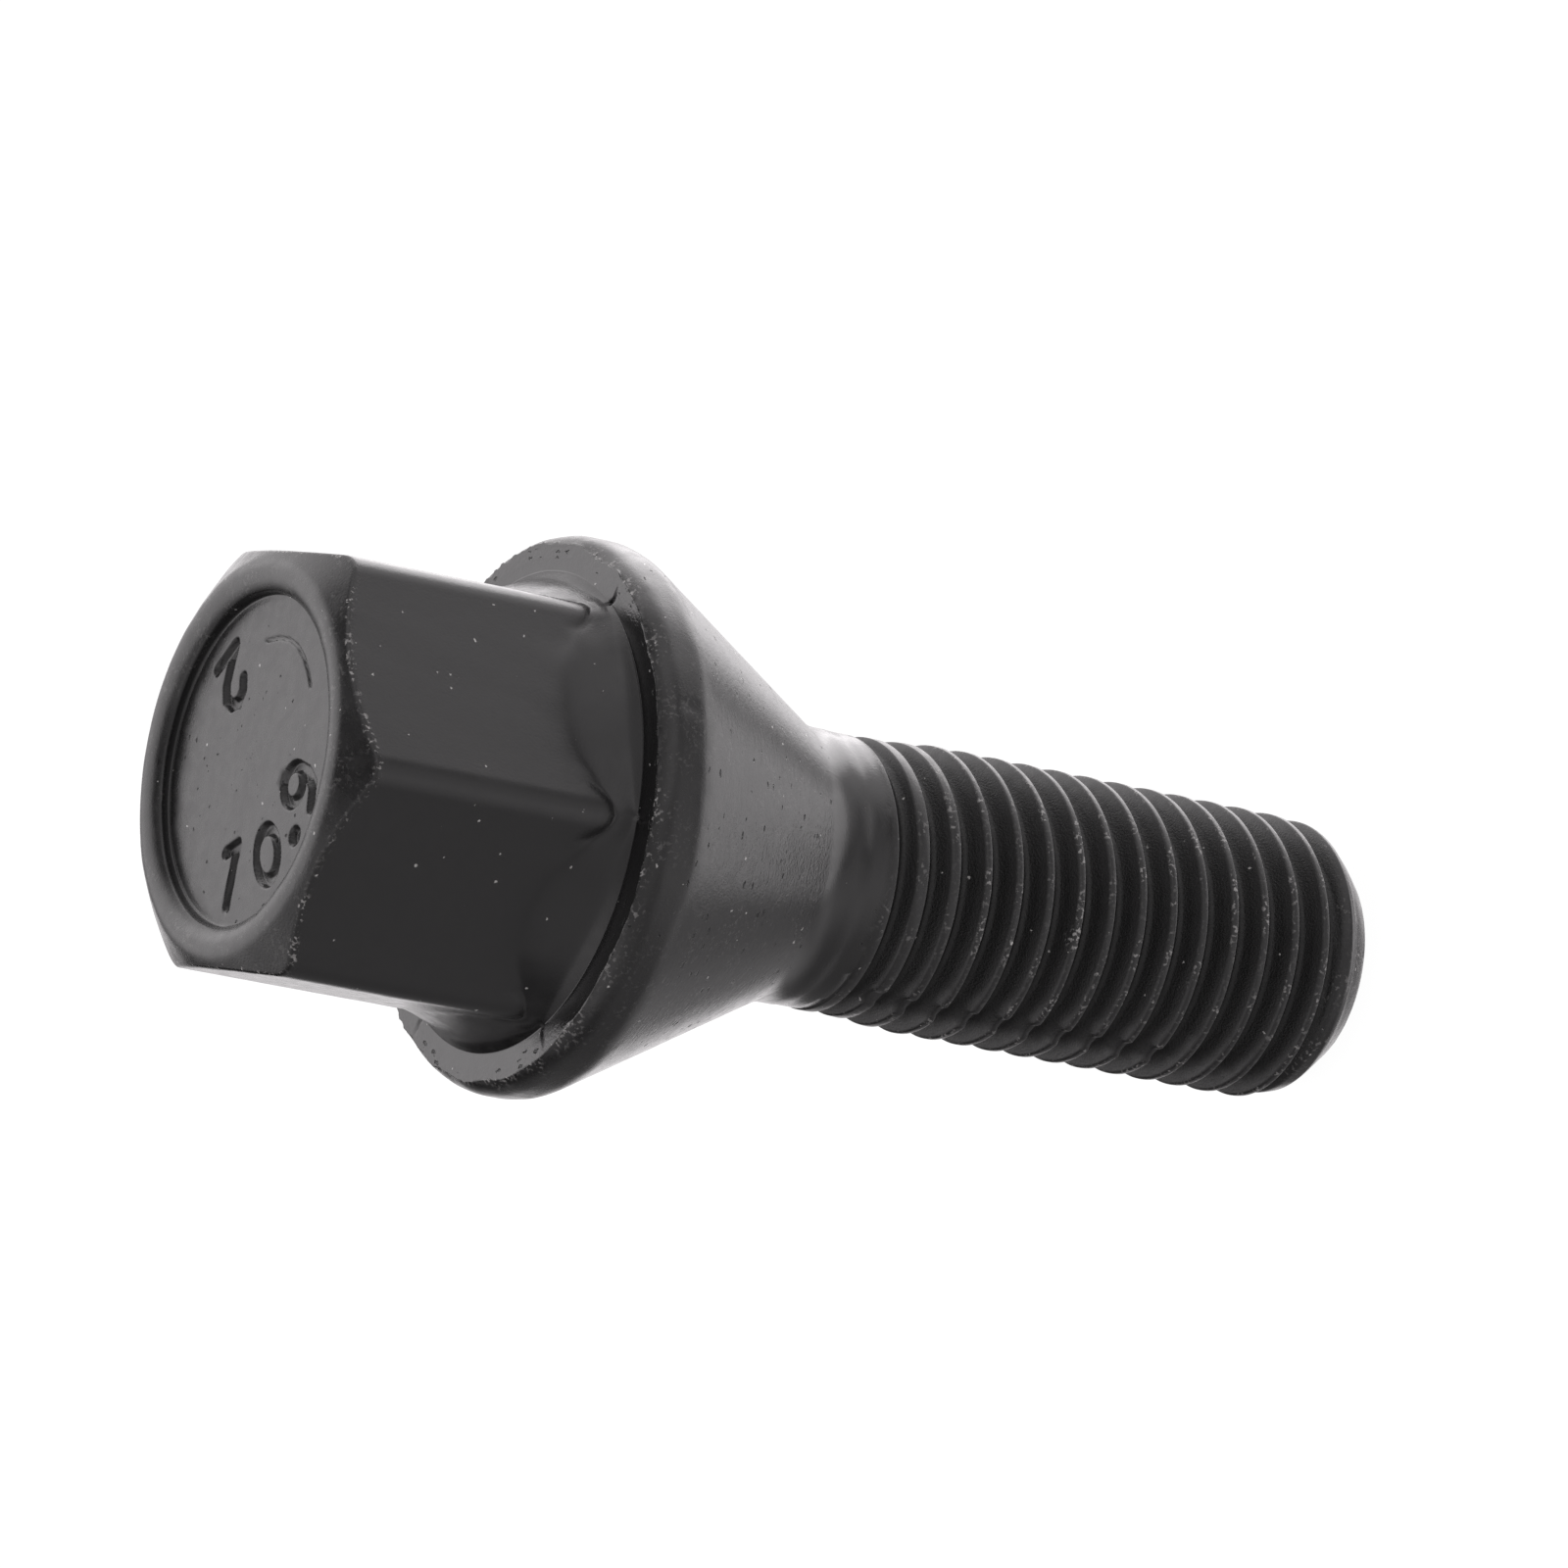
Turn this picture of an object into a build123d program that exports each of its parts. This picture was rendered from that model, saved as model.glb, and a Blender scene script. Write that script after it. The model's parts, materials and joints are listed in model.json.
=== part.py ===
"""Wheel bolt, M12 x 1.5, with a 17 mm hexagon head and a 60 degree conical seat.

One forged piece that stands on its thread end. Millimetres, +Z up, origin at the
centre of the end face, +Z along the bolt's axis towards the head. Two flats of the
hexagon face +X and -X.
"""
import os
from math import radians, tan

from build123d import *

# Driving dimensions
head_height = 12.92         # top of the head above the collar's face
hex_across_flats = 16.9
hex_corner_radius = 1.3

# Head top: a raised round lip with a flat dish inside it and a cone that cuts the corners
lip_radius = 7.68           # to the crown of the lip
lip_outer_rounding = 1.0
lip_inner_fall = 0.39       # from the crown down to the dish's wall
dish_radius = 6.75
dish_depth = 0.78           # below the crown
chamfer_angle = 36.0        # from the plane of the head's top

# Foot of the head: a flare that fills the middle of each flat, on a low step at the collar
flare_height = 2.6
flare_root = 0.05           # how far inside the flats the flare starts
flare_radius = 9.43         # at the step
flare_step_height = 0.4
flare_step_width = 0.42

# Collar and seat
collar_diameter = 22.9
collar_height = 2.0
collar_edge_height = 1.0    # rounded edge, below the collar's face
collar_edge_inset = 0.47    # how much smaller the face is than the collar
seat_angle = 60.0           # whole angle of the cone
seat_edge_rounding = 1.5

# Shank
neck_diameter = 11.4
neck_length = 2.34          # from the thread to the foot of the cone
neck_rounding = 3.0
thread_diameter = 11.86     # over the crests
thread_length = 23.9
thread_step_height = 0.4    # cone between the thread's crests and the neck
end_chamfer = 1.45          # 45 degrees

# Heights that follow from the sizes above
seat_drop = (collar_diameter - neck_diameter) / 2 / tan(radians(seat_angle / 2))
seat_bottom_z = thread_length + neck_length
seat_top_z = seat_bottom_z + seat_drop
face_z = seat_top_z + collar_height
top_z = face_z + head_height


def turned(face):
    """Turns a half profile, drawn with X as radius and Y as height, about the bolt's axis."""
    return revolve(Plane.XZ * face, Axis.Z, 360)


def rounded(face, roundings):
    """Rounds the corners of a profile: each entry is a corner point and its radius."""
    for point, radius in roundings:
        corner = face.vertices().sort_by_distance(Vector(*point))[0]
        face = fillet(corner, radius)
    return face


def shank_and_collar():
    """Threaded shank at its crest size, neck, conical seat and collar, as one turned form."""
    thread_radius = thread_diameter / 2
    neck_radius = neck_diameter / 2
    collar_radius = collar_diameter / 2
    neck_corner = (neck_radius, seat_bottom_z)
    seat_corner = (collar_radius, seat_top_z)
    edge_start = (collar_radius, face_z - collar_edge_height)
    edge_end = (collar_radius - collar_edge_inset, face_z)
    outline = [
        Polyline(
            (0, face_z),
            (0, 0),
            (thread_radius - end_chamfer, 0),
            (thread_radius, end_chamfer),
            (thread_radius, thread_length),
            (neck_radius, thread_length + thread_step_height),
            neck_corner,
            seat_corner,
            edge_start,
        ),
        TangentArc(edge_start, edge_end, tangent=(0, 1)),
        Line(edge_end, (0, face_z)),
    ]
    return turned(rounded(make_face(outline), [
        (neck_corner, neck_rounding),
        (seat_corner, seat_edge_rounding),
    ]))


def head_envelope():
    """Turned form that bounds the hexagon: dish, lip and corner chamfer."""
    floor_z = top_z - dish_depth
    chamfer_slope = tan(radians(chamfer_angle))
    outer_radius = collar_diameter / 2
    crown = (lip_radius, top_z)
    wall_top = (dish_radius, top_z - lip_inner_fall)
    # The lip's outer rounding runs on into the cone at the cone's own slope.
    round_off = CenterArc(
        (lip_radius, top_z - lip_outer_rounding), lip_outer_rounding, 90, -chamfer_angle)
    cone_start = round_off @ 1
    cone_end = (outer_radius, cone_start.Y - (outer_radius - cone_start.X) * chamfer_slope)
    outline = [
        Polyline((0, floor_z), (dish_radius, floor_z), wall_top),
        TangentArc(crown, wall_top, tangent=(-1, 0)),
        round_off,
        Polyline(cone_start, cone_end, (outer_radius, seat_top_z), (0, seat_top_z), (0, floor_z)),
    ]
    return turned(make_face(outline))


def hexagon():
    """Hexagon prism with rounded corners, from inside the collar to the head's top."""
    outline = RegularPolygon(hex_across_flats / 2, 6, major_radius=False, rotation=30)
    outline = fillet(outline.vertices(), hex_corner_radius)
    return extrude(Plane.XY.offset(seat_top_z) * outline, top_z - seat_top_z)


def foot_flare():
    """Flare round the foot of the hexagon: a steep cone on the flats, then a low step."""
    outline = Polyline(
        (0, seat_top_z),
        (flare_radius + flare_step_width, seat_top_z),
        (flare_radius + flare_step_width, face_z),
        (flare_radius, face_z + flare_step_height),
        (hex_across_flats / 2 - flare_root, face_z + flare_height),
        (0, face_z + flare_height),
        close=True,
    )
    return turned(make_face(outline))


def wheel_bolt():
    """The whole bolt, fused into the one piece that it is forged as."""
    head = hexagon() & head_envelope()
    return shank_and_collar() + foot_flare() + head


os.makedirs("parts", exist_ok=True)
export_step(wheel_bolt(), "parts/wheel_bolt.step")
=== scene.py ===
"""Wheel bolt: the looks. One detailed mesh takes the place of the plain solid.

The mesh is a net of rings round the bolt's axis, from the middle of the dish in the head
down to the middle of the end face. Sizes are in millimetres until the mesh is made, and
angles go about +Z from +X.
"""
import json
from math import acos, atan2, cos, hypot, pi, radians, sin, tan

import bpy
import numpy as np
from mathutils import Matrix, Vector


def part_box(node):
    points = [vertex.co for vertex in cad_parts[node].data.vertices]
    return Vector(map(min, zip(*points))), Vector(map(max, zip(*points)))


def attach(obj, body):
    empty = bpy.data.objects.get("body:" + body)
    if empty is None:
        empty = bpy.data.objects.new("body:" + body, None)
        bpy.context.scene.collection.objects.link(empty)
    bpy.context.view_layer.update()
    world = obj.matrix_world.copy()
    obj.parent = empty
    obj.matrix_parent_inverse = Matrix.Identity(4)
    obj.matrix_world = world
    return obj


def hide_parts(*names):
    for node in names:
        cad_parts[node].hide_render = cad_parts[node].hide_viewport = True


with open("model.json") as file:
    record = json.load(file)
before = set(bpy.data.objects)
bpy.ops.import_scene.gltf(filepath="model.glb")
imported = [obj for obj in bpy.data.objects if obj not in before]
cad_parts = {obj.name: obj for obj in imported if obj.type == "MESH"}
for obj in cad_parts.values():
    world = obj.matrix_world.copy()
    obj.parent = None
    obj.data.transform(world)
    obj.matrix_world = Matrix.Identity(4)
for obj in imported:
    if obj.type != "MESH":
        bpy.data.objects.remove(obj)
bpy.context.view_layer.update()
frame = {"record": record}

NODE = "wheel_bolt"
SLOT = "black_coating"
MM = 0.001
FULL_TURN = 2 * pi
SEED = 11

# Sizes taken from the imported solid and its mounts
MOUNTS = {mount["name"]: mount for mount in frame["record"]["mounts"]}
BOX_LOW, BOX_HIGH = (np.array(corner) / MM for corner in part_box(NODE))
TOP_Z = BOX_HIGH[2]
COLLAR_RADIUS = min(*-BOX_LOW[:2], *BOX_HIGH[:2])
THREAD_RADIUS = MOUNTS["thread"]["dims"]["r_mm"]
HEX_INRADIUS = MOUNTS["hexagon_flat"]["pos_m"][0] / MM
SEAT_TOP_Z = MOUNTS["seat"]["pos_m"][2] / MM
COAT_COLOR = next(m["base_color"] for m in frame["record"]["materials"] if m["slot"] == SLOT)

# Head
HEAD_HEIGHT = 12.92
FACE_Z = TOP_Z - HEAD_HEIGHT
HEX_CORNER_RADIUS = 1.3
HEX_CORNER_AT = radians(30)        # angle of one corner
LIP_RADIUS = 7.6                   # to the crown of the lip
LIP_OUTER_ROUNDING = 1.0
LIP_INNER_FALL = 0.39              # from the crown down to the dish's wall
LIP_OVERHANG = 0.02                # angle that the lip's inner arc runs on past the wall
LIP_WALL_DROP = 0.06               # wall's upper row, below the lip's inner edge
DISH_RADIUS = 6.75
DISH_DEPTH = 0.78
DISH_FOOT_ROUNDING = 0.12
CHAMFER_ANGLE = radians(36)
CHAMFER_EDGE_ROUNDING = 0.25

# Flare at the foot of the hexagon, heights above the collar
FLARE_FOOT_RADIUS = 9.85
FLARE_CORNER_HEIGHT = 0.9          # where it leaves a corner
FLARE_HEIGHT = 2.7                 # where it leaves the middle of a flat
FLARE_CORNER_WIDTH = 2.1           # distance from a corner over which it rises
FLARE_STEP_AT = 0.84               # share of its height, from its top, where its low step starts
FLARE_STEP_SHARE = 0.69            # share of its reach out that it has there
FLARE_STEP_BLEND = 0.06
FLARE_BLEND, FLARE_CORNER_BLEND = 0.16, 0.09
FLARE_BLEND_SPAN = (1.0, 3.0)      # distances from a corner between which the blend changes

# Fold round the foot of each corner: distance from the corner and height above the collar
FOLD = [(0.0, 0.75), (0.45, 0.9), (0.80, 1.15), (1.05, 1.5), (1.15, 2.0)]
FOLD_WIDTH, FOLD_DEPTH = 0.19, 0.05
FOLD_FADE = 0.3                    # height above its last point where it is gone

# Creases that run out from the corners over the collar's face: radii, and the value at each
CREASE_DRIFT = ((9.5, 10.1, 10.8), (0.035, -0.005, 0.004))     # angle from the corner
CREASE_WIDTH = ((9.5, 9.9, 10.85), (0.10, 0.07, 0.04))
CREASE_DEPTH = ((9.4, 9.9, 10.9), (0.16, 0.14, 0.0))
CREASE_START = 0.5                 # height on the flare where they begin

# Collar, seat and neck
RING_RADIUS = COLLAR_RADIUS - 0.47 # flat face of the collar
RING_WAVINESS = 0.06
RING_RAGGEDNESS = 0.035
COLLAR_EDGE_HEIGHT = 1.0
RIM_DENT_ANGLE, RIM_DENT_Z = radians(294.8), 36.9
RIM_DENT_RADIUS, RIM_DENT_DEPTH = 0.35, 0.12
SEAT_EDGE_ROUNDING = 1.5
SEAT_HALF_ANGLE = radians(30)
NECK_RADIUS = 5.7
NECK_ROUNDING = 3.0
NECK_STEP = 0.03                   # faint step where the thread rolls stopped
NECK_STEP_Z = 25.0
NECK_STEP_HEIGHT = 0.1

# Thread
PITCH = 1.5
CREST_PHASE = 0.10                 # crest at height PITCH * (phase + angle / turn)
CREST_WIDTH = 0.24
CREST_ROUNDING = 0.03
ROOT_ROUNDING = 0.16
FLANK_SLOPE = 1 / tan(radians(30))
THREAD_DEPTH = 0.92
THREAD_TOP_Z = 23.9
RUN_OUT_CREST = 5.72               # radius of the first crest, below the neck
RUN_OUT_CREST_SPAN = (4.8, 1.5)    # below the thread's upper end, where crests get lower
RUN_OUT_ROOT = 5.5                 # radius of the first groove's start
RUN_OUT_ROOT_SPAN = (1.0, 0.2)
RUN_OUT_EDGE = 0.12
END_RADIUS = 4.53
END_EDGE_ROUNDING = 0.45
END_MIDDLE_RADIUS = 0.5            # innermost ring of the end face
END_GROOVE_RISE = 0.7              # how far the last groove is filled
END_GROOVE_SPAN = (2.25, 1.75)     # heights between which that happens

# Row of dents along the thread
NICK_ANGLE = radians(211.6)
NICK_LOW_Z, NICK_HIGH_Z = 8.3, 22.7
NICK_WIDTH, NICK_DEPTH = 0.42, 0.2
NICK_EDGE = 0.12                   # half the width of a dent's sloping side
NICK_FADE = 0.4                    # length over which the row begins and ends
NICK_REACH = (0.5, 0.1)            # depths below the crests between which the dents set in

# Engraved numbers on the dish's floor, strokes in (right, up) about a text circle
TEXT_RADIUS = 4.35
TEXT_SPAN = (2.85, 5.95)           # radii between which the rows are closest, for the numbers
STROKE_WIDTH = 0.45
STROKE_EDGE = 0.07
ENGRAVED_DEPTH = 0.30
ONE = [(-0.86, 0.55), (0.0, 0.98), (0.0, -1.48)]
NINE_TAIL = [(0.75, 0.61), (0.74, -0.2), (0.40, -0.92), (-0.45, -1.25)]
TWO = [(-0.72, 0.55), (-0.5, 1.0), (0.0, 1.2), (0.5, 1.0), (0.72, 0.5), (0.5, -0.05),
       (-0.78, -1.2), (0.8, -1.2)]

# Lap line: a fine fold that the forging die left on the dish's floor
LAP_LINE = [(4.85, 0.58), (4.98, -0.4), (4.93, -1.3), (4.67, -2.1), (4.2, -2.8), (3.62, -3.35),
            (3.1, -3.7)]
LAP_DEPTH, LAP_WIDTH = 0.13, 0.06

# Net: columns round the axis, and rows as shares of the way across each zone
HEAD_COLUMNS = 384
SHANK_COLUMNS = HEAD_COLUMNS // 2
CORNER_WARP = 0.7                  # crowds the columns at the hexagon's corners
RIM_WARP = 0.4                     # share of that left at the edge of the collar's face
DISH_MIDDLE = [(0.3, 4), (0.7, 4), (1.1, 4), (1.5, 2), (1.9, 2), (2.3, 2), (2.65, 2)]
CHAMFER_ROWS = (0.25, 0.5, 0.75, 0.92, 1.0)
FLAT_ROWS = (0.02, 0.14, 0.30, 0.46, 0.60, 0.71, 0.79, 0.85, 0.89, 0.92, 0.945, 0.97, 0.985, 1.0)
FLARE_ROWS = (0.04, 0.09, 0.15, 0.23, 0.33, 0.45, 0.57, 0.68, 0.76, 0.81, 0.84, 0.87, 0.91, 0.95,
              0.985, 1.0)
RING_ROWS = (0.04, 0.1, 0.18, 0.26, 0.35, 0.44, 0.53, 0.62, 0.71, 0.8, 0.9, 0.97, 1.0)
RIM_ROWS = (0.93, 0.82, 0.68, 0.52, 0.34, 0.16, 0.0)
GROOVE_ROWS = (0.27, 0.38, 0.5, 0.62, 0.73)

# Finish of each zone: share rubbed, pits, roughness, and how deep it is pressed in unevenly
DISH_FINISH = dict(pits=0.22, rough=0.27, uneven=0.02)
LIP_FINISH = dict(wear=0.15, pits=0.05, uneven=0.02)
CHAMFER_FINISH = dict(wear=0.1)
EDGE_FINISH = dict(wear=1.3)
FLAT_FINISH = dict(rough=0.22)
RING_FINISH = dict(rough=0.15, uneven=0.008)
RIM_FINISH = dict(pits=0.3, rough=0.28, uneven=0.025)
SEAT_EDGE_FINISH = dict(wear=0.1, pits=0.3, rough=0.26, uneven=0.025)
SEAT_FINISH = dict(wear=0.1, pits=0.45, rough=0.15, uneven=0.006)
NECK_FINISH = dict(pits=0.1, rough=0.19, uneven=0.0)
END_FINISH = dict(rough=0.35, uneven=0.0)
CAP_FINISH = dict(wear=0.0, pits=0.2, rough=0.25, uneven=0.0)
RING_PITS, RING_PIT_SPAN = 1.6, (0.2, 0.9)     # most pits on the outer part of the collar's face
RIM_WEAR = 0.1

# Finish of the thread: depths are below the crests, heights above the end face
CREST_WEAR, RUN_OUT_WEAR_LOSS = 0.85, 0.55
CREST_WEAR_DEPTH = (0.08, 0.02)
LAST_CREST_WEAR = 0.35
TIP_SPAN = (1.8, 1.2)
TIP_WEAR_LOSS, TIP_GLOSS = 0.5, 0.1
# painted shade in the thread's grooves sets in between these depths below the crests; the grooves are
# rougher there too
GROOVE_SHADE_DEPTH = (0.06, 0.3)
THREAD_ROUGH, GROOVE_ROUGH = 0.34, 0.14
THREAD_PITS, THREAD_UNEVEN = 0.05, 0.006
SCUFFS = [(259.5, 14.8), (248.9, 8.8)]         # angle in degrees and height
SCUFF_RADIUS, SCUFF_WEAR = 0.3, 2.0

# Slow unevenness of the forging
FORGED_WAVES = 18
FORGED_WAVE_NUMBERS = (1.2, 5.0)
FORGED_WAVE_SUM = 6

# Coating: sizes of its noises and spots, and what they do
GRAIN_SIZE, GRAIN_AMOUNT = 0.09, 0.35
MOTTLE_SIZE, MOTTLE_AMOUNT = 0.6, 0.2
MOTTLE_SPAN, MOTTLE_ROUGHNESS = (0.3, 0.7), (-0.03, 0.05)
WRINKLE_SIZE, WRINKLE_AMOUNT, WRINKLE_LIMIT = 0.16, 1.2, 0.6
SKIN_STRENGTH, SKIN_HEIGHT = 0.5, 0.04
SCATTER_SIZE, SCATTER_REACH = 0.15, 0.2
AROUND_RADIUS = 4.0                # less than most of the bolt's, so spots are drawn out along the turn
PATCH_SIZE, PATCH_SPAN, PATCH_SHARE = 1.3, (0.45, 0.62), (0.1, 1.0)
FLECK_SIZE, FLECK_DETAIL, FLECK_SPAN = 0.17, 4.0, (0.54, 0.64)
DUST_SPACING, DUST_RADIUS, DUST_SHARE = 0.55, 0.085, 0.22
PIT_SPACING, PIT_RADIUS, PIT_HEIGHT = 0.27, 0.085, 0.07
PIT_SHARE, PIT_SHARE_START = 0.5, -0.04
# painted shade: how far the coat is darkened in the pits; and how much rougher they are
PIT_SHADE_DARKENING, PIT_ROUGHNESS = 0.6, 0.3
# painted shade: how far the coat is darkened deep in the thread's grooves
GROOVE_SHADE_DARKENING = 0.85
RUBBED_ROUGHNESS = 0.2
SMALLEST_SPECK = 0.4               # of the largest one's radius
RUBBED_COLOR = (0.55, 0.54, 0.53, 1)
DUST_COLOR = (0.75, 0.74, 0.72, 1)
BLACK = (0, 0, 0, 1)
WHITE = (1, 1, 1, 1)

# Soft lights of the studio: towards, cosines where each begins and is full, strength
LIGHT_COLOR = (1, 0.97, 0.985, 1)
STUDIO = {
    "behind": ((0.06, 0.86, -0.50), 0.82, 0.96, 1.15),
    "back_high": ((0, 1, 1), 0.66, 0.98, 1.30),
    "back_top": ((1, 1, 0), 0.66, 0.98, 1.12),
    "top": ((1, 0, 0), 0.66, 0.98, 0.50),
    "top_strip": ((0.68, 0.52, -0.51), 0.875, 0.97, 1.75),
    "top_right": ((1, 0, -1), 0.66, 0.98, 0.58),
    "right": ((0.25, -0.1, -0.96), 0.89, 0.95, 0.74),
    "right_low": ((-0.3, 0.1, -0.95), 0.80, 0.97, 0.31),
    "left_low": ((-0.6, 0.1, 0.8), 0.75, 0.98, 0.30),
    "back_low": ((-0.7, 0.5, -0.5), 0.75, 0.97, 0.18),
    "low": ((-1, -0.1, 0), 0.80, 0.98, 0.09),
    "front": ((0.25, -1, 0), 0.66, 0.98, 0.28),
    "front_right": ((0, -1, -1), 0.66, 0.98, 0.24),
    "front_low": ((-1, -1, -1), 0.66, 0.98, 0.25),
    "front_left": ((-1, -1, 1), 0.66, 0.98, 0.33),
    "front_top": ((1, -1, 1), 0.66, 0.98, 0.36),
}

# Floor, in metres
FLOOR_SIZE = 4.0
FLOOR_Z = -0.00002
FLOOR_COLOR = (0.2, 0.2, 0.2, 1)
FLOOR_GLOW = 0.96                  # near white to the eye, with room for the shadow

# Camera
CAMERA_AZIMUTH = radians(-3.914)
CAMERA_ELEVATION = radians(30.082)
CAMERA_ROLL = radians(78.787)
CAMERA_DISTANCE = 0.539663         # metres
CAMERA_TARGET = (3.187, -0.218, 26.238)
CAMERA_LENS, SENSOR_WIDTH = 304.93, 36.0
CAMERA_CLIP_START = 0.01           # metres


def arc(center, radius, start, end, count):
    """Points of an arc in the half plane of radius and height, angles in radians."""
    turns = np.linspace(start, end, count)
    return [(center[0] + radius * cos(t), center[1] + radius * sin(t)) for t in turns]


def line(start, end, count):
    """Points from start to end, both included."""
    return [tuple(point) for point in np.linspace(start, end, count)]


def smooth_max(a, b, blend):
    """The larger of two values, with a rounded change from one to the other."""
    return (a + b + np.sqrt((a - b) ** 2 + blend ** 2)) / 2


def smooth_min(a, b, blend):
    """The smaller of two values, with a rounded change from one to the other."""
    return -smooth_max(-a, -b, blend)


def smooth_step(low, high, values):
    """Soft change from 0 at low to 1 at high."""
    share = np.clip((values - low) / (high - low), 0, 1)
    return share * share * (3 - 2 * share)


def column_angles(count, warp=0.0):
    """Angles of the net's columns, crowded at the hexagon's corners by the warp."""
    even = np.arange(count) * FULL_TURN / count
    return even - warp / 6 * np.sin(6 * (even - HEX_CORNER_AT))


def from_corner(angles):
    """Angle from the nearest corner of the hexagon, with its sign."""
    return (angles - HEX_CORNER_AT + pi / 6) % (pi / 3) - pi / 6


def hexagon_radius(angles):
    """Radius of the hexagon with rounded corners."""
    off = from_corner(angles)
    center = (HEX_INRADIUS - HEX_CORNER_RADIUS) / cos(pi / 6)
    across = np.minimum(np.abs(center * np.sin(off)), HEX_CORNER_RADIUS)
    corner = center * np.cos(off) + np.sqrt(HEX_CORNER_RADIUS ** 2 - across ** 2)
    flat = HEX_INRADIUS / np.cos(pi / 6 - np.abs(off))
    tangent_at = atan2(HEX_CORNER_RADIUS / 2, center + HEX_CORNER_RADIUS * cos(pi / 6))
    return np.where(np.abs(off) < tangent_at, corner, flat)


def flare_height(angles):
    """Height above the collar where the flare leaves the hexagon: lowest at the corners."""
    across = FLARE_FOOT_RADIUS * from_corner(angles)
    rise = 1 - np.exp(-(across / FLARE_CORNER_WIDTH) ** 2)
    return FLARE_CORNER_HEIGHT + (FLARE_HEIGHT - FLARE_CORNER_HEIGHT) * rise


def flare_share(angles, down):
    """Share of the flare's reach out from the hexagon, by the share of its height from the top."""
    across = np.abs(FLARE_FOOT_RADIUS * from_corner(angles))
    on_flat = smooth_step(*FLARE_BLEND_SPAN, across)
    blend = FLARE_CORNER_BLEND + (FLARE_BLEND - FLARE_CORNER_BLEND) * on_flat
    slope = FLARE_STEP_SHARE / FLARE_STEP_AT
    step = 1 - (1 - down) * (1 - FLARE_STEP_SHARE) / (1 - FLARE_STEP_AT)
    return smooth_max(smooth_max(0.0, slope * down, blend), step, FLARE_STEP_BLEND)


def path_distance(x, y, path):
    """Distance from points to a bent line."""
    nearest = np.full(np.shape(x), np.inf)
    for (ax, ay), (bx, by) in zip(path, path[1:]):
        length = hypot(bx - ax, by - ay)
        share = np.clip(((x - ax) * (bx - ax) + (y - ay) * (by - ay)) / length ** 2, 0, 1)
        away = np.hypot(x - ax - share * (bx - ax), y - ay - share * (by - ay))
        nearest = np.minimum(nearest, away)
    return nearest


def oval_distance(x, y, center, half_width, half_height):
    """Distance from points to the line of an oval, near enough for a thin stroke."""
    reach = np.hypot((x - center[0]) / half_width, (y - center[1]) / half_height)
    return np.abs(reach - 1) * (half_width + half_height) / 2


def corner_fold(angles, heights):
    """Depth of the fold round the foot of each corner, by height above the collar."""
    across = np.abs(hexagon_radius(angles) * np.sin(from_corner(angles)))
    distance = path_distance(across, heights, FOLD)
    fade = smooth_step(FOLD[-1][1] + FOLD_FADE, FOLD[-2][1], heights)
    return FOLD_DEPTH * np.exp(-(distance / FOLD_WIDTH) ** 2) * fade


def ring_creases(angles, radii):
    """Depth of the creases that run out from the hexagon's corners over the collar's face."""
    across = radii * (from_corner(angles) - np.interp(radii, *CREASE_DRIFT))
    width = np.interp(radii, *CREASE_WIDTH)
    depth = np.interp(radii, *CREASE_DEPTH)
    return depth * np.exp(-(across / width) ** 2)


def ripple(angles, lowest, highest, seed):
    """Uneven closed curve round the axis, about -1 to 1."""
    rng = np.random.default_rng(seed)
    orders = np.arange(lowest, highest)
    shifts = rng.uniform(0, FULL_TURN, len(orders))
    waves = np.sin(np.multiply.outer(angles, orders) + shifts)
    return waves.sum(-1) / np.sqrt(len(orders) / 2)


def forged_noise(xyz):
    """Slow unevenness of a forged surface, about -1 to 1."""
    rng = np.random.default_rng(SEED)
    total = np.zeros(len(xyz))
    for _ in range(FORGED_WAVES):
        wave = rng.normal(size=3)
        wave *= rng.uniform(*FORGED_WAVE_NUMBERS) / np.linalg.norm(wave)
        total += np.sin(xyz @ wave + rng.uniform(0, FULL_TURN))
    return np.clip(total / FORGED_WAVE_SUM, -1, 1)


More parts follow.
